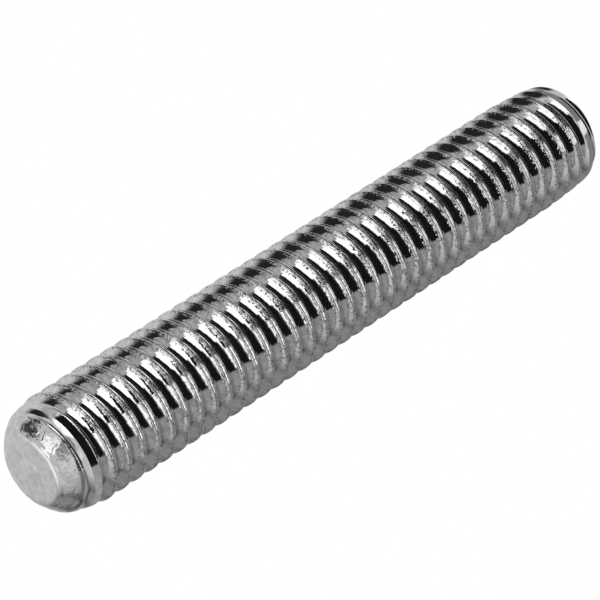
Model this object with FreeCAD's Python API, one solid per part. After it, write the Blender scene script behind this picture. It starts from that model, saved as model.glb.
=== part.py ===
import FreeCAD, Part
import math
import os
from FreeCAD import Vector

# A fully threaded stud, right-hand, that stands on its foot. The axis is Z and the foot is at Z = 0.
# Driving dimensions, in millimetres and degrees.
stud_length = 49.85
major_diameter = 7.8
pitch = 1.25
flank_angle = 60.0
crest_flat = 0.16
root_flat = 0.21
chamfer_angle = 45.0
foot_diameter = 4.95
head_face_diameter = 3.8
head_lip_diameter = 5.0
head_lip_drop = 0.09

# The first crests at each end are low. They start from these diameters and rise to full size at these slopes.
foot_crest_diameter = 7.24
foot_crest_slope = 6.0
head_crest_diameter = 6.8
head_crest_slope = 14.5

# The side of the stud where a crest would meet the level of the foot.
thread_start_angle = 157.5

# Each turn is drawn in this many straight steps, which keeps the facets few.
steps_per_turn = 32

# The thread is drawn this many turns past each end, and the ends are then cut through it.
spare_turns = 2

# How far the blank that cuts the ends stands clear of the crests.
blank_clearance = 1.0

major_radius = major_diameter / 2
groove_width = pitch - crest_flat
flank_rise = (groove_width - root_flat) / 2
thread_depth = flank_rise / math.tan(math.radians(flank_angle / 2))
root_radius = major_radius - thread_depth


def thread_form():
    """Corners of one pitch of the thread as radius and height, from one crest's lower edge to the next one's."""
    crest_low = -crest_flat / 2
    crest_high = crest_low + crest_flat
    root_low = crest_high + flank_rise
    root_high = root_low + root_flat
    return [
        (major_radius, crest_low),
        (major_radius, crest_high),
        (root_radius, root_low),
        (root_radius, root_high),
        (major_radius, crest_low + pitch),
    ]


def run_along_axis(from_radius, to_radius, angle):
    """How far along the axis a slope at this angle to it runs between two radii."""
    return (to_radius - from_radius) / math.tan(math.radians(angle))


def head_lip_height():
    return stud_length - head_lip_drop


def crest_limit(height):
    """The largest radius of the thread at this height, which is less than the crests' own near the ends."""
    foot_crest = foot_crest_diameter / 2
    head_crest = head_crest_diameter / 2
    above_foot = height - run_along_axis(foot_diameter / 2, foot_crest, chamfer_angle)
    head_level = head_lip_height() - run_along_axis(head_lip_diameter / 2, head_crest, chamfer_angle)
    from_foot = foot_crest + max(above_foot, 0) * math.tan(math.radians(foot_crest_slope))
    from_head = head_crest + max(head_level - height, 0) * math.tan(math.radians(head_crest_slope))
    return min(major_radius, from_foot, from_head)


def on_helix(corner, step):
    """The point of a corner of the thread form, carried along the helix by a number of steps."""
    radius, height = corner
    turns = step / steps_per_turn
    angle = math.radians(thread_start_angle) + 2 * math.pi * turns
    level = height + pitch * turns
    reach = min(radius, crest_limit(level))
    return Vector(reach * math.cos(angle), reach * math.sin(angle), level)


def facet(points):
    return Part.Face(Part.makePolygon(points + points[:1]))


def thread_step(step):
    """The facets of one step, two triangles for each side of the thread form."""
    facets = []
    corners = thread_form()
    for low, high in zip(corners, corners[1:]):
        near_low, near_high = on_helix(low, step), on_helix(high, step)
        far_low, far_high = on_helix(low, step + 1), on_helix(high, step + 1)
        facets.append(facet([near_low, far_low, far_high]))
        facets.append(facet([near_low, far_high, near_high]))
    return facets


def closing_fan(step):
    """Triangles from the axis that close the thread where a turn starts at this step."""
    corners = thread_form()
    start = on_helix(corners[0], step)
    apex = Vector(0, 0, start.z)
    rim = [on_helix(corners[0], step + count) for count in range(steps_per_turn + 1)]
    rim += [on_helix(corner, step) for corner in reversed(corners[:-1])]
    return [facet([apex, first, second]) for first, second in zip(rim, rim[1:])]


def threaded_bar():
    """A threaded bar that is longer than the stud at both ends."""
    first = -spare_turns * steps_per_turn
    last = (math.ceil(stud_length / pitch) + spare_turns) * steps_per_turn
    facets = closing_fan(first) + closing_fan(last)
    for step in range(first, last):
        facets += thread_step(step)
    skin = Part.makeCompound(facets)
    skin.sewShape()
    bar = Part.Solid(skin.Shells[0])
    if bar.Volume < 0:
        bar.reverse()
    return bar


def blank():
    """A turned blank with a chamfer at each end, and the head's worn lip and face."""
    outside = major_radius + blank_clearance
    foot = foot_diameter / 2
    lip = head_lip_diameter / 2
    outline = [
        Vector(0, 0, 0),
        Vector(foot, 0, 0),
        Vector(outside, 0, run_along_axis(foot, outside, chamfer_angle)),
        Vector(outside, 0, head_lip_height() - run_along_axis(lip, outside, chamfer_angle)),
        Vector(lip, 0, head_lip_height()),
        Vector(head_face_diameter / 2, 0, stud_length),
        Vector(0, 0, stud_length),
    ]
    return facet(outline).revolve(Vector(0, 0, 0), Vector(0, 0, 1), 360)


def stud():
    return threaded_bar().common(blank()).Solids[0]


os.makedirs("parts", exist_ok=True)
stud().exportStep("parts/threaded_stud.step")
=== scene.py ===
import math

import bpy
from mathutils import Matrix, Vector


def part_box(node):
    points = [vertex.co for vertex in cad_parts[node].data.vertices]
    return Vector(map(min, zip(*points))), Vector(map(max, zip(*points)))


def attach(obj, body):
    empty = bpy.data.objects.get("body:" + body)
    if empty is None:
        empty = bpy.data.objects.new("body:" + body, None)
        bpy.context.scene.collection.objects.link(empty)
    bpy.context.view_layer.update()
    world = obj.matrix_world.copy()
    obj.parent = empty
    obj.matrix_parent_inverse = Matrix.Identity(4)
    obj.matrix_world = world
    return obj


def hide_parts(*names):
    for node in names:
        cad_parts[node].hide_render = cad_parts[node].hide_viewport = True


bl_info = {
    "name": "Threaded Stud",
    "version": (1, 0, 0),
    "blender": (4, 5, 0),
    "location": "View3D > Sidebar > Stud",
    "description": "A plated threaded stud with rolled crests, on a pale floor",
    "category": "Add Mesh",
}

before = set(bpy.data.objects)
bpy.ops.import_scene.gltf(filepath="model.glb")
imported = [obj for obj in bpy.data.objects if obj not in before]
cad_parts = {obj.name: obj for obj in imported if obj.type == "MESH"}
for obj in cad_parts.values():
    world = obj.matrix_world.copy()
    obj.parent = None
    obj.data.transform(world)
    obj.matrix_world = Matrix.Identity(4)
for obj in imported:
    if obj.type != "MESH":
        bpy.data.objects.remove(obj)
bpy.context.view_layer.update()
lowest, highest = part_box("threaded_stud")
bar_length = highest[2] - lowest[2]
crest_radius = (highest[0] - lowest[0]) / 2

# Points of the thread closer than this share of the pitch are one point. Along the cut ends it is smaller.
thread_merge = 0.001
ends_merge = 0.0005

# Half of one pitch of the thread is drawn through these shares of it, closest together where it bends.
thread_shares = (
    0.0, 0.05, 0.1, 0.138, 0.168, 0.195, 0.225, 0.26, 0.31, 0.39, 0.5, 0.61, 0.72, 0.82, 0.92, 1.0,
)

# The bar is drawn this many turns past the foot and the head, and is then cut.
turns_below = 2
turns_above = 3

# The blank that cuts the ends, as radius and height in metres. The foot's heights go up from its level, and
# the head's go down from its top. Between the two ends' low crests, the blank stands clear of the bar.
foot_edge = (
    (0.0, 0.0), (0.00258, 0.0), (0.00264, 0.000012), (0.00269, 0.00006), (0.0035, 0.0008),
    (0.0036, 0.00105), (0.00366, 0.00135), (0.00373, 0.00195), (0.00381, 0.0032), (0.0039, 0.0048),
)
head_edge = (
    (0.00395, 0.0033), (0.00384, 0.00275), (0.00374, 0.00228), (0.00364, 0.00185), (0.00354, 0.00145),
    (0.00345, 0.0012), (0.00335, 0.00103), (0.0032, 0.00087), (0.00305, 0.00068), (0.0029, 0.00053),
    (0.00272, 0.00035), (0.00258, 0.00022), (0.00245, 0.00013), (0.0023, 0.00008), (0.0021, 0.000052),
    (0.00195, 0.000046), (0.0017, 0.000043), (0.0012, 0.000042),
)
clear_above_foot = 0.0064
clear_below_head = 0.0068
clear_share = 1.15

# The turned cone in the middle of the head's face, as radius and rise above the face.
face_cone = (
    (0.00096, 0.000002), (0.00085, 0.000012), (0.0006, 0.000054), (0.00035, 0.000092),
    (0.0002, 0.0001), (0.0, 0.000101),
)

# Where the wear on the thread's flanks and crests starts and is full, as shares of the crests' radius.
flank_zone = (0.945, 0.985)
crest_zone = (0.985, 0.995)

# Where the wear on the head's chamfer starts and is full, as depth below the head and as radius.
chamfer_depths = (0.0013, 0.0009)
chamfer_radii = (0.0025, 0.0027)

# How many cells of each pattern in the plating fit in a metre.
grain_cells = 5600.0
skin_cells = 3000.0
cloud_cells = 2600.0
patch_cells = 1700.0
wander_cells = 420.0
line_cells = 200.0

# Between which values of its pattern each kind of wear goes from none to full.
pit_range = (0.42, 0.66)
scuff_range = (0.5, 0.62)
patch_range = (0.4, 0.62)
cloud_range = (0.35, 0.68)

# How much of the pits is left between the patches of wear.
pits_between = 0.25

# The rolling seam's place from the middle of a crest, half its width and how far it wanders, as shares of
# the pitch. The last number says how closely the rolled lines lie.
seam_place = 0.035
seam_half_width = 0.022
seam_wander = 0.05
line_crowding = 24.0

# The plating's relief is given in thousandths of a millimetre.
relief_unit = 0.000001


class ThreadSizes(bpy.types.PropertyGroup):
    """Sizes of the rolled thread and of the stud's two ends."""

    length: bpy.props.FloatProperty(
        name="Length", description="From the foot to the head", default=bar_length, unit="LENGTH")
    radius: bpy.props.FloatProperty(
        name="Crest radius", description="From the axis to the crests", default=crest_radius, unit="LENGTH")
    pitch: bpy.props.FloatProperty(
        name="Pitch", description="From one crest to the next", default=0.00125, unit="LENGTH")
    flank_angle: bpy.props.FloatProperty(
        name="Flank angle", description="From a flank to a plane across the axis",
        default=math.radians(28.0), subtype="ANGLE")
    crest_half_width: bpy.props.FloatProperty(
        name="Crest half width", description="From the middle of a crest to its flank",
        default=0.00012, unit="LENGTH")
    crest_softness: bpy.props.FloatProperty(
        name="Crest softness", description="How far the bend from crest to flank is rounded over",
        default=0.00002, unit="LENGTH")
    groove_depth: bpy.props.FloatProperty(
        name="Groove depth", description="From the crests to the groove's bottom before it is rounded",
        default=0.0009, unit="LENGTH")
    groove_softness: bpy.props.FloatProperty(
        name="Groove softness", description="How far the bend from flank to groove is rounded over",
        default=0.00017, unit="LENGTH")
    start_angle: bpy.props.FloatProperty(
        name="Start angle", description="Side of the stud where a crest would meet the foot's level",
        default=math.radians(157.5), subtype="ANGLE")
    steps: bpy.props.IntProperty(
        name="Steps", description="Faces in one turn of the thread", default=72, min=16, max=128)
    blank_steps: bpy.props.IntProperty(
        name="End steps", description="Faces round the blank that cuts the ends", default=120, min=24,
        max=240)
    head_stand: bpy.props.FloatProperty(
        name="Head stand", description="How far the blank's top lies above the solid's head",
        default=0.00006, unit="LENGTH")
    head_offset: bpy.props.FloatProperty(
        name="Head offset", description="How far off the axis the head's chamfer was cut",
        default=0.00006, unit="LENGTH")
    spare: bpy.props.FloatProperty(
        name="Spare length", description="How far past each end the bar is cut", default=0.0007,
        unit="LENGTH")


class PlateFinish(bpy.types.PropertyGroup):
    """Tone, gloss and wear of the plating. Depths and heights are in thousandths of a millimetre."""

    clean_tone: bpy.props.FloatProperty(
        name="Clean tone", description="Brightness of clean plating", default=0.96, min=0.0, max=1.0,
        subtype="FACTOR")
    cloudy_tone: bpy.props.FloatProperty(
        name="Cloudy tone", description="Brightness of cloudy plating", default=0.76, min=0.0, max=1.0,
        subtype="FACTOR")
    scuff_shade: bpy.props.FloatProperty(
        name="Scuff shade", description="How much darker the scuffs near the crests are", default=0.35,
        min=0.0, max=1.0, subtype="FACTOR")
    groove_roughness: bpy.props.FloatProperty(
        name="Groove roughness", description="Roughness of the clean plating", default=0.03, min=0.0,
        max=1.0, subtype="FACTOR")
    crest_roughness: bpy.props.FloatProperty(
        name="Crest roughness", description="Roughness of the pits near the crests", default=0.06, min=0.0,
        max=1.0, subtype="FACTOR")
    chamfer_roughness: bpy.props.FloatProperty(
        name="Chamfer roughness", description="Roughness of the head's chamfer", default=0.1, min=0.0,
        max=1.0, subtype="FACTOR")
    pit_depth: bpy.props.FloatProperty(
        name="Pit depth", description="Relief of the pits on the upper flanks", default=9.0)
    pit_filling: bpy.props.FloatProperty(
        name="Pit filling", description="How much of the pits is rolled flat on the crests", default=5.0)
    rolling_depth: bpy.props.FloatProperty(
        name="Rolling depth", description="Relief of the fine lines along the crests", default=0.6)
    seam_depth: bpy.props.FloatProperty(
        name="Seam depth", description="Depth of the rolling seam along the crests", default=4.5)
    ridge_pitch: bpy.props.FloatProperty(
        name="Ridge pitch", description="From one turning ridge on the chamfer to the next",
        default=0.00005, unit="LENGTH")
    ridge_height: bpy.props.FloatProperty(
        name="Ridge height", description="Height of the turning ridges on the chamfer", default=14.0)
    chamfer_patches: bpy.props.FloatProperty(
        name="Chamfer patches", description="Relief of the broad patches on the chamfer", default=12.0)
    skin_relief: bpy.props.FloatProperty(
        name="Skin relief", description="Relief of the plating's own skin", default=3.6)


def deselect_all():
    """Leaves edit mode and selects nothing."""
    if bpy.context.object and bpy.context.object.mode != "OBJECT":
        bpy.ops.object.mode_set(mode="OBJECT")
    bpy.ops.object.select_all(action="DESELECT")


def select_only(piece):
    """Selects one piece and makes it the active one."""
    deselect_all()
    piece.select_set(True)
    bpy.context.view_layer.objects.active = piece


def edit_all(piece):
    """Opens one piece in edit mode with all of it selected."""
    select_only(piece)
    bpy.ops.object.mode_set(mode="EDIT")
    bpy.ops.mesh.select_all(action="SELECT")


def edit_points(piece, wanted):
    """Opens one piece in edit mode and selects the points whose place passes a test."""
    select_only(piece)
    bpy.ops.object.mode_set(mode="EDIT")
    bpy.ops.mesh.select_mode(type="VERT")
    bpy.ops.mesh.select_all(action="DESELECT")
    bpy.ops.object.mode_set(mode="OBJECT")
    for vertex in piece.data.vertices:
        vertex.select = wanted(vertex.co)
    bpy.ops.object.mode_set(mode="EDIT")


def apply_modifier(piece, name):
    select_only(piece)
    bpy.ops.object.modifier_apply(modifier=name)


def tidy_mesh(piece, distance):
    """Merges doubles, closes the pinholes this leaves, and turns the faces outward."""
    edit_all(piece)
    bpy.ops.mesh.remove_doubles(threshold=distance)
    bpy.ops.mesh.fill_holes(sides=12)
    bpy.ops.mesh.normals_make_consistent(inside=False)
    bpy.ops.object.mode_set(mode="OBJECT")


def start_outline(name, radius, height):
    """A mesh of one point at this radius and height, in edit mode."""
    deselect_all()
    bpy.ops.mesh.primitive_plane_add(size=0.001, location=(0, 0, 0))
    piece = bpy.context.object
    piece.name = name
    piece.data.name = name
    bpy.ops.object.mode_set(mode="EDIT")
    bpy.ops.mesh.select_all(action="SELECT")
    bpy.ops.mesh.merge(type="CENTER")
    bpy.ops.transform.translate(value=(radius, 0, height))
    return piece


def draw_outline(name, points):
    """An open line through points given as radius and height, extruded one by one in the XZ plane."""
    piece = start_outline(name, *points[0])
    for (radius, height), (next_radius, next_height) in zip(points, points[1:]):
        step = (next_radius - radius, 0, next_height - height)
        bpy.ops.mesh.extrude_region_move(TRANSFORM_OT_translate={"value": step})
    bpy.ops.object.mode_set(mode="OBJECT")
    return piece


def soft_bend(distance, softness):
    """How far a line has turned away at this distance past a rounded bend, for a slope of one."""
    share = distance / softness
    bell = math.exp(-share * share / 2) / math.sqrt(2 * math.pi)
    return distance * (1 + math.erf(share / math.sqrt(2))) / 2 + softness * bell


def thread_radius(sizes, aside):
    """Radius of the rolled thread at this distance along the axis from the middle of a crest."""
    slope = 1 / math.tan(sizes.flank_angle)
    groove = sizes.crest_half_width + sizes.groove_depth / slope
    fall = soft_bend(aside - sizes.crest_half_width, sizes.crest_softness)
    near_bend = soft_bend(aside - groove, sizes.groove_softness)
    far_bend = soft_bend(aside - (sizes.pitch - groove), sizes.groove_softness)
    return sizes.radius - slope * (fall - near_bend - far_bend)


def thread_outline(sizes):
    """One pitch of the thread from the middle of a crest to the next."""
    half = []
    for share in thread_shares:
        aside = sizes.pitch / 2 * share
        half.append((thread_radius(sizes, aside), aside))
    other_half = [(radius, sizes.pitch - height) for radius, height in reversed(half[:-1])]
    return half + other_half


def cut_across(piece, height, keep_above):
    """Cuts the bar across and leaves the cut open."""
    edit_all(piece)
    bpy.ops.mesh.bisect(
        plane_co=(0, 0, height), plane_no=(0, 0, 1), use_fill=False, clear_inner=keep_above,
        clear_outer=not keep_above, threshold=1e-7)
    bpy.ops.object.mode_set(mode="OBJECT")


def close_cut(piece, height):
    """Draws the open cut's edge in to the axis."""
    near = 2e-7
    edit_points(piece, lambda place: abs(place.z - height) < near)
    bpy.ops.mesh.extrude_region_move(TRANSFORM_OT_translate={"value": (0, 0, 0)})
    bpy.ops.mesh.merge(type="CENTER")
    bpy.ops.object.mode_set(mode="OBJECT")


def threaded_bar(sizes):
    """A bar with a right-hand thread, cut square and closed a little past both ends of the stud."""
    start = -sizes.pitch * (sizes.start_angle / (2 * math.pi) + turns_below)
    points = [(radius, height + start) for radius, height in thread_outline(sizes)]
    bar = draw_outline("plated_stud", points)
    screw = bar.modifiers.new("thread", "SCREW")
    screw.axis = "Z"
    screw.angle = 2 * math.pi
    screw.screw_offset = sizes.pitch
    screw.steps = sizes.steps
    screw.render_steps = sizes.steps
    screw.iterations = math.ceil(sizes.length / sizes.pitch) + turns_below + turns_above
    apply_modifier(bar, "thread")
    same_point = sizes.pitch * thread_merge
    below_foot = -sizes.spare
    above_head = sizes.length + sizes.spare
    tidy_mesh(bar, same_point)
    cut_across(bar, below_foot, True)
    cut_across(bar, above_head, False)
    tidy_mesh(bar, same_point)
    close_cut(bar, below_foot)
    close_cut(bar, above_head)
    tidy_mesh(bar, same_point)
    return bar


def blank_outline(sizes):
    """The turned blank's edge from the middle of the foot to the middle of the head."""
    outside = sizes.radius * clear_share
    top = sizes.length + sizes.head_stand
    side = [(outside, clear_above_foot), (outside, top - clear_below_head)]
    head = [(radius, top - drop) for radius, drop in head_edge]
    face_level = head[-1][1]
    cone = [(radius, face_level + rise) for radius, rise in face_cone]
    return list(foot_edge) + side + head + cone


def turned_blank(sizes):
    """The solid that cuts the bar's ends, with its head's end a little off the axis."""
    blank = draw_outline("blank", blank_outline(sizes))
    edit_all(blank)
    bpy.ops.mesh.spin(steps=sizes.blank_steps, angle=2 * math.pi, center=(0, 0, 0), axis=(0, 0, 1))
    bpy.ops.object.mode_set(mode="OBJECT")
    tidy_mesh(blank, sizes.pitch * thread_merge)
    middle = sizes.length / 2
    edit_points(blank, lambda place: place.z > middle)
    bpy.ops.transform.translate(value=(sizes.head_offset, 0, 0))
    bpy.ops.object.mode_set(mode="OBJECT")
    return blank


def cut_ends(bar, blank):
    """Keeps the part of the bar that lies inside the blank, which is then removed."""
    ends = bar.modifiers.new("ends", "BOOLEAN")
    ends.operation = "INTERSECT"
    ends.object = blank
    ends.solver = "MANIFOLD"
    apply_modifier(bar, "ends")
    bpy.data.objects.remove(blank)
    fewest_faces = 1000  # a failed cut leaves none
    if len(bar.data.polygons) < fewest_faces:
        raise RuntimeError("The ends were not cut")


class NodeSketch:
    """Adds nodes to a tree in a few words and lays them out in columns."""

    def __init__(self, tree):
        self.tree = tree
        self.tree.nodes.clear()
        self.count = 0

    def add(self, kind, **settings):
        """A new node with its settings, in the next free place."""
        rows, wide, tall = 6, 180, 170
        node = self.tree.nodes.new(kind)
        node.location = (wide * (self.count // rows), -tall * (self.count % rows))
        self.count += 1
        for key, value in settings.items():
            setattr(node, key, value)
        return node

    def feed(self, socket, value):
        """Links another node's output to a socket, or sets the socket's own value."""
        if isinstance(value, bpy.types.NodeSocket):
            self.tree.links.new(value, socket)
        else:
            socket.default_value = value

    def math(self, operation, *values):
        """The result of one Math node."""
        node = self.add("ShaderNodeMath", operation=operation)
        for socket, value in zip(node.inputs, values):
            self.feed(socket, value)
        return node.outputs[0]

    def plus(self, first, second):
        return self.math("ADD", first, second)

    def minus(self, first, second):
        return self.math("SUBTRACT", first, second)

    def times(self, first, second):
        return self.math("MULTIPLY", first, second)

    def ramp(self, value, low, high, at_low=0.0, at_high=1.0):
        """A smooth step from one value to another."""
        node = self.add("ShaderNodeMapRange", interpolation_type="SMOOTHSTEP")
        self.feed(node.inputs["Value"], value)
        self.feed(node.inputs["From Min"], low)
        self.feed(node.inputs["From Max"], high)
        self.feed(node.inputs["To Min"], at_low)
        self.feed(node.inputs["To Max"], at_high)
        return node.outputs["Result"]

    def blend(self, share, first, second):
        """A number between two numbers. The Mix node's inputs for numbers are 0, 2 and 3."""
        node = self.add("ShaderNodeMix", data_type="FLOAT")
        self.feed(node.inputs[0], share)
        self.feed(node.inputs[2], first)
        self.feed(node.inputs[3], second)
        return node.outputs[0]

    def noise(self, vector, scale, detail=1.0, roughness=0.5, slide=None):
        """Soft noise. Where a slide is given, the pattern also changes along it."""
        dimensions = "3D" if slide is None else "4D"
        node = self.add("ShaderNodeTexNoise", noise_dimensions=dimensions, normalize=True)
        self.feed(node.inputs["Vector"], vector)
        self.feed(node.inputs["Scale"], scale)
        self.feed(node.inputs["Detail"], detail)
        self.feed(node.inputs["Roughness"], roughness)
        if slide is not None:
            self.feed(node.inputs["W"], slide)
        return node.outputs[0]


def thread_place(sketch, place, sizes):
    """A point's radius, its height and its distance from a crest's middle, as a share of the pitch."""
    split = sketch.add("ShaderNodeSeparateXYZ")
    sketch.feed(split.inputs[0], place)
    side, front, height = split.outputs
    radius = sketch.math("SQRT", sketch.plus(sketch.times(side, side), sketch.times(front, front)))
    turn = sketch.math("DIVIDE", sketch.math("ARCTAN2", front, side), 2 * math.pi)
    phase = sketch.minus(sketch.math("DIVIDE", height, sizes.pitch), turn)
    phase = sketch.plus(phase, sizes.start_angle / (2 * math.pi) + 0.5)
    from_crest = sketch.minus(sketch.math("FRACT", phase), 0.5)
    return radius, height, from_crest


def worn_zones(sketch, sizes, radius, height):
    """Where the upper flanks, the crests and the head's chamfer lie, each from none to full."""
    near_crest = sketch.ramp(radius, *[sizes.radius * share for share in flank_zone])
    on_crest = sketch.ramp(radius, *[sizes.radius * share for share in crest_zone])
    near_head = sketch.ramp(height, *[sizes.length - depth for depth in chamfer_depths])
    on_chamfer = sketch.times(near_head, sketch.ramp(radius, *chamfer_radii))
    return near_crest, on_crest, on_chamfer


def plate_tone(sketch, place, finish, near_crest, grain):
    """Cloudy brightness, darker where the grain is scuffed near the crests."""
    cloud = sketch.noise(place, cloud_cells, detail=3.0, roughness=0.65)
    cloud = sketch.ramp(cloud, *cloud_range, finish.clean_tone, finish.cloudy_tone)
    scuffs = sketch.ramp(grain, *scuff_range)
    return sketch.minus(cloud, sketch.times(sketch.times(near_crest, finish.scuff_shade), scuffs))


def rolled_lines(sketch, place, finish, from_crest):
    """Fine lines along the crests, and the wandering seam where the metal folded as it was rolled."""
    lines = sketch.noise(place, line_cells, slide=sketch.times(from_crest, line_crowding))
    wander = sketch.times(sketch.minus(sketch.noise(place, wander_cells), 0.5), seam_wander)
    seam_side = sketch.plus(sketch.plus(from_crest, wander), seam_place)
    seam = sketch.ramp(sketch.math("ABSOLUTE", seam_side), 0.0, seam_half_width, 0.0, finish.seam_depth)
    return sketch.plus(sketch.times(lines, finish.rolling_depth), seam)


def chamfer_relief(sketch, finish, radius, patches):
    """Fine turning ridges, which tilt the chamfer's gloss as a whole, and broad patches."""
    ridges = sketch.math("FRACT", sketch.math("DIVIDE", radius, finish.ridge_pitch))
    ridges = sketch.times(ridges, finish.ridge_height)
    return sketch.plus(ridges, sketch.times(patches, finish.chamfer_patches))


def bright_plate(sizes, finish):
    """Bright plating on rolled steel, clean in the grooves and worn along the crests and on the chamfer."""
    material = bpy.data.materials.new("bright_plate")
    material.use_nodes = True
    sketch = NodeSketch(material.node_tree)
    place = sketch.add("ShaderNodeTexCoord").outputs["Object"]
    radius, height, from_crest = thread_place(sketch, place, sizes)
    near_crest, on_crest, on_chamfer = worn_zones(sketch, sizes, radius, height)

    # The relief: pits, rolled lines, turning ridges and the plating's skin.
    grain = sketch.noise(place, grain_cells)
    patches = sketch.ramp(sketch.noise(place, patch_cells, detail=2.0), *patch_range)
    pits = sketch.times(sketch.ramp(grain, *pit_range), sketch.blend(patches, pits_between, 1.0))
    depth = sketch.minus(
        sketch.times(near_crest, finish.pit_depth), sketch.times(on_crest, finish.pit_filling))
    pitted = sketch.times(pits, depth)
    lined = sketch.times(rolled_lines(sketch, place, finish, from_crest), on_crest)
    ridged = sketch.times(chamfer_relief(sketch, finish, radius, patches), on_chamfer)
    skin = sketch.noise(place, skin_cells, detail=2.0, roughness=0.55)
    skin = sketch.times(skin, finish.skin_relief)
    relief = sketch.plus(sketch.plus(sketch.plus(pitted, lined), ridged), skin)
    bump = sketch.add("ShaderNodeBump")
    sketch.feed(bump.inputs["Strength"], 1.0)
    sketch.feed(bump.inputs["Distance"], relief_unit)
    sketch.feed(bump.inputs["Height"], relief)

    # The gloss and the tone.
    rough = sketch.blend(sketch.times(near_crest, pits), finish.groove_roughness, finish.crest_roughness)
    rough = sketch.blend(on_chamfer, rough, finish.chamfer_roughness)
    shader = sketch.add("ShaderNodeBsdfPrincipled")
    shader.inputs["Metallic"].default_value = 1.0
    sketch.feed(shader.inputs["Base Color"], plate_tone(sketch, place, finish, near_crest, grain))
    sketch.feed(shader.inputs["Roughness"], rough)
    sketch.feed(shader.inputs["Normal"], bump.outputs[0])
    output = sketch.add("ShaderNodeOutputMaterial")
    sketch.feed(output.inputs["Surface"], shader.outputs[0])
    return material


def pale_paper(brightness):
    """Plain white that shines evenly, so that no edge of the backdrop shows."""
    material = bpy.data.materials.new("pale_paper")
    material.use_nodes = True
    sketch = NodeSketch(material.node_tree)
    glow = sketch.add("ShaderNodeEmission")
    glow.inputs["Color"].default_value = (1.0, 1.0, 1.0, 1.0)
    glow.inputs["Strength"].default_value = brightness
    output = sketch.add("ShaderNodeOutputMaterial")
    sketch.feed(output.inputs["Surface"], glow.outputs[0])
    return material


class STUD_OT_rolled_stud(bpy.types.Operator):
    """Makes the stud: a rolled thread drawn along its helix, cut at both ends by a turned blank"""

    bl_idname = "stud.rolled_stud"
    bl_label = "Rolled stud"

    def execute(self, context):
        sizes = context.scene.stud_thread
        bar = threaded_bar(sizes)
        cut_ends(bar, turned_blank(sizes))
        tidy_mesh(bar, sizes.pitch * ends_merge)
        select_only(bar)
        bpy.ops.object.shade_smooth_by_angle(angle=math.radians(40))
        bar.data.materials.clear()
        bar.data.materials.append(bright_plate(sizes, context.scene.stud_finish))
        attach(bar, "root")
        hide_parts("threaded_stud")
        return {"FINISHED"}


class StageSettings(bpy.types.PropertyGroup):
    """Where the camera stands and how bright the stage is."""

    elevation: bpy.props.FloatProperty(
        name="Elevation", description="Camera angle above the horizon",
        default=math.radians(35.1675), subtype="ANGLE")
    roll: bpy.props.FloatProperty(
        name="Roll", description="Turn of the camera about its line of sight",
        default=math.radians(-122.831), subtype="ANGLE")
    distance: bpy.props.FloatProperty(
        name="Distance", description="From the camera to its aim", default=0.235386, unit="LENGTH")
    lens: bpy.props.FloatProperty(
        name="Lens", description="Focal length in millimetres on a 36 mm sensor", default=219.642)
    aim: bpy.props.FloatVectorProperty(
        name="Aim", description="Point that the camera looks at",
        default=(-0.00005, 0.000414, 0.0259806), size=3, subtype="TRANSLATION")
    backdrop_radius: bpy.props.FloatProperty(
        name="Backdrop radius", description="From the stud to the backdrop's wall", default=3.0,
        unit="LENGTH")
    backdrop_brightness: bpy.props.FloatProperty(
        name="Backdrop brightness", description="Brightness of the pale floor and wall", default=1.0,
        min=0.0)
    room_below: bpy.props.FloatProperty(
        name="Room below", description="Brightness of the room low down, between the panels",
        default=0.219, min=0.0)
    room_above: bpy.props.FloatProperty(
        name="Room above", description="Brightness of the room higher up, between the panels",
        default=0.556, min=0.0)


# Each panel of the studio: middle azimuth, half width, middle elevation, half height, lean, softness and
# brightness, with angles in degrees. Later ones lie over earlier ones.
studio_panels = (
    ("rear_fill", 45.9, 38.9, 22.5, 68.2, -0.60, 2.0, 0.58),
    ("far_side", 161.4, 58.5, 17.7, 23.1, -0.07, 17.0, 0.15),
    ("far_flag", 137.0, 20.0, 12.0, 24.0, 0.0, 10.0, 0.07),
    ("head_card", 128.0, 15.0, 24.0, 11.0, 0.0, 7.0, 0.24),
    ("rear_card", 92.0, 28.0, 62.0, 12.0, 0.0, 8.0, 1.0),
    ("face_card", 92.0, 10.0, 36.0, 8.0, 0.0, 6.0, 0.52),
    ("top_left", -152.9, 24.0, 68.5, 6.7, -0.33, 7.0, 0.79),
    ("overhead", -19.7, 38.3, 84.0, 10.8, -0.26, 5.2, 1.6),
    ("front_canopy", -22.0, 34.0, 71.0, 6.0, 0.0, 4.0, 1.1),
    ("canopy_gap", -91.5, 25.6, 66.0, 13.8, -0.03, 3.5, 0.236),
    ("small_flag", -11.3, 23.3, 19.3, 14.5, -0.36, 14.0, 0.127),
    ("slim_flag", 27.0, 15.5, 46.0, 12.0, -0.42, 6.0, 0.018),
    ("low_flag", 16.6, 14.5, -37.6, 7.0, -0.11, 2.5, 0.0),
    ("under", -25.0, 62.0, -78.0, 20.0, 0.0, 2.0, 0.0),
    ("camera_flag", -84.5, 60.0, 7.2, 35.8, 0.0, 3.0, 0.008),
    ("low_card", -55.0, 35.0, -30.3, 8.0, 0.2, 2.5, 1.6),
    ("side_card", -48.0, 22.0, -22.0, 8.0, 0.3, 3.0, 1.6),
    ("side_under", -55.0, 38.0, -39.0, 8.7, 0.02, 0.8, 0.009),
    ("low_patch", -112.0, 18.5, -44.0, 13.5, 0.0, 2.5, 0.85),
    ("crest_card", -121.0, 29.0, -33.3, 3.4, 0.0, 1.5, 1.3),
)

# The room's own brightness changes between these two elevations.
room_elevations = (-40.0, 10.0)


def within(sketch, distance, half, soft):
    """Full inside half a panel's size, none outside it, with a soft edge."""
    return sketch.ramp(sketch.math("ABSOLUTE", distance), half - soft, half + soft, 1.0, 0.0)


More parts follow.
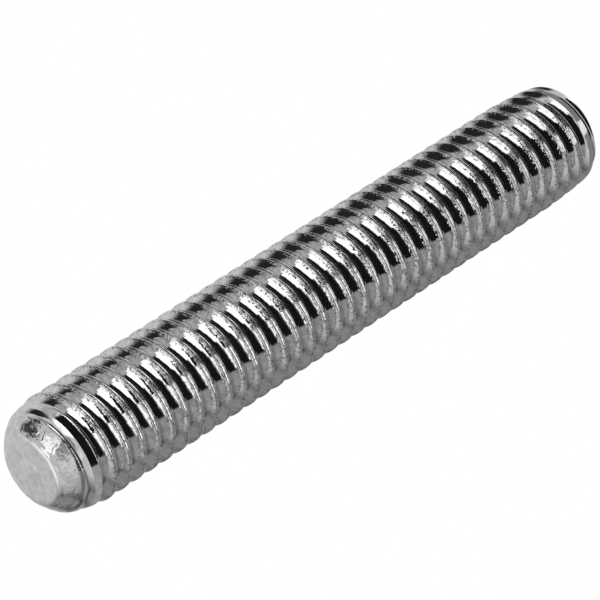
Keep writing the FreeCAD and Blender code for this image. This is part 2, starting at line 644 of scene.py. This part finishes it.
def studio_world(settings):
    """The soft panels and dark flags that stand all round the stage, by their direction from the stud."""
    world = bpy.data.worlds.new("studio")
    world.use_nodes = True
    sketch = NodeSketch(world.node_tree)
    split = sketch.add("ShaderNodeSeparateXYZ")
    sketch.feed(split.inputs[0], sketch.add("ShaderNodeTexCoord").outputs["Generated"])
    east, north, rise = split.outputs
    to_degrees = math.degrees(1.0)
    azimuth = sketch.times(sketch.math("ARCTAN2", north, east), to_degrees)
    elevation = sketch.times(sketch.math("ARCSINE", rise), to_degrees)
    light = sketch.ramp(elevation, *room_elevations, settings.room_below, settings.room_above)
    for name, middle, half_width, level, half_height, lean, soft, brightness in studio_panels:
        aside = sketch.math("WRAP", sketch.minus(azimuth, middle), 180.0, -180.0)
        above = sketch.minus(sketch.minus(elevation, level), sketch.times(aside, lean))
        in_width = within(sketch, aside, half_width, soft)
        in_height = within(sketch, above, half_height, soft)
        light = sketch.blend(sketch.times(in_width, in_height), light, brightness)
        light.node.label = name
    background = sketch.add("ShaderNodeBackground")
    sketch.feed(background.inputs["Color"], light)
    output = sketch.add("ShaderNodeOutputWorld")
    sketch.feed(output.inputs["Surface"], background.outputs[0])
    return world


def add_backdrop(settings):
    """A pale floor that curves up into a wall all round, hidden from the metal's reflections."""
    deselect_all()
    bpy.ops.mesh.primitive_uv_sphere_add(
        segments=64, ring_count=32, radius=settings.backdrop_radius, location=(0, 0, 0))
    shell = bpy.context.object
    shell.name = "backdrop"
    edit_all(shell)
    bpy.ops.mesh.bisect(plane_co=(0, 0, 0), plane_no=(0, 0, 1), use_fill=True, clear_inner=True)
    bpy.ops.object.mode_set(mode="OBJECT")
    shell.data.materials.append(pale_paper(settings.backdrop_brightness))
    shell.visible_glossy = False
    shell.visible_diffuse = False
    shell.visible_shadow = False


def add_camera(settings):
    """A camera that looks at its aim along the stage's Y axis, raised and then rolled."""
    data = bpy.data.cameras.new("camera")
    camera = bpy.data.objects.new("camera", data)
    bpy.context.collection.objects.link(camera)
    data.sensor_width = 36.0
    data.lens = settings.lens
    data.clip_start = 0.01
    data.clip_end = 10.0
    forward = Vector((0, math.cos(settings.elevation), -math.sin(settings.elevation)))
    level_up = Vector((0, math.sin(settings.elevation), math.cos(settings.elevation)))
    level_right = Vector((1, 0, 0))
    up = level_up * math.cos(settings.roll) - level_right * math.sin(settings.roll)
    right = level_right * math.cos(settings.roll) + level_up * math.sin(settings.roll)
    basis = Matrix((right, up, -forward)).transposed().to_4x4()
    place = Vector(settings.aim) - forward * settings.distance
    camera.matrix_world = Matrix.Translation(place) @ basis
    bpy.context.scene.camera = camera


class STUD_OT_stage(bpy.types.Operator):
    """Lays the pale floor, sets up the soft studio light and aims the camera"""

    bl_idname = "stud.stage"
    bl_label = "Stage"

    def execute(self, context):
        settings = context.scene.stud_stage
        add_backdrop(settings)
        context.scene.world = studio_world(settings)
        add_camera(settings)
        context.scene.view_settings.view_transform = "Standard"
        return {"FINISHED"}


class STUD_PT_sidebar(bpy.types.Panel):
    """Sizes, finish and buttons for the stud and its stage"""

    bl_idname = "STUD_PT_sidebar"
    bl_label = "Threaded stud"
    bl_space_type = "VIEW_3D"
    bl_region_type = "UI"
    bl_category = "Stud"

    def draw(self, context):
        scene = context.scene
        for label, groups, operator in (
                ("Stud", (scene.stud_thread, scene.stud_finish), STUD_OT_rolled_stud),
                ("Stage", (scene.stud_stage,), STUD_OT_stage)):
            column = self.layout.column(align=True)
            column.label(text=label)
            for group in groups:
                for key in group.__annotations__:
                    column.prop(group, key)
            column.operator(operator.bl_idname)


classes = (ThreadSizes, PlateFinish, StageSettings, STUD_OT_rolled_stud, STUD_OT_stage, STUD_PT_sidebar)


def register():
    """Registers the classes and hangs their settings on the scene."""
    for cls in classes:
        bpy.utils.register_class(cls)
    bpy.types.Scene.stud_thread = bpy.props.PointerProperty(type=ThreadSizes)
    bpy.types.Scene.stud_finish = bpy.props.PointerProperty(type=PlateFinish)
    bpy.types.Scene.stud_stage = bpy.props.PointerProperty(type=StageSettings)


def unregister():
    del bpy.types.Scene.stud_stage
    del bpy.types.Scene.stud_finish
    del bpy.types.Scene.stud_thread
    for cls in reversed(classes):
        bpy.utils.unregister_class(cls)


def main():
    """Makes the stud and its stage."""
    register()
    bpy.ops.stud.rolled_stud()
    bpy.ops.stud.stage()


if __name__ == "__main__":
    main()
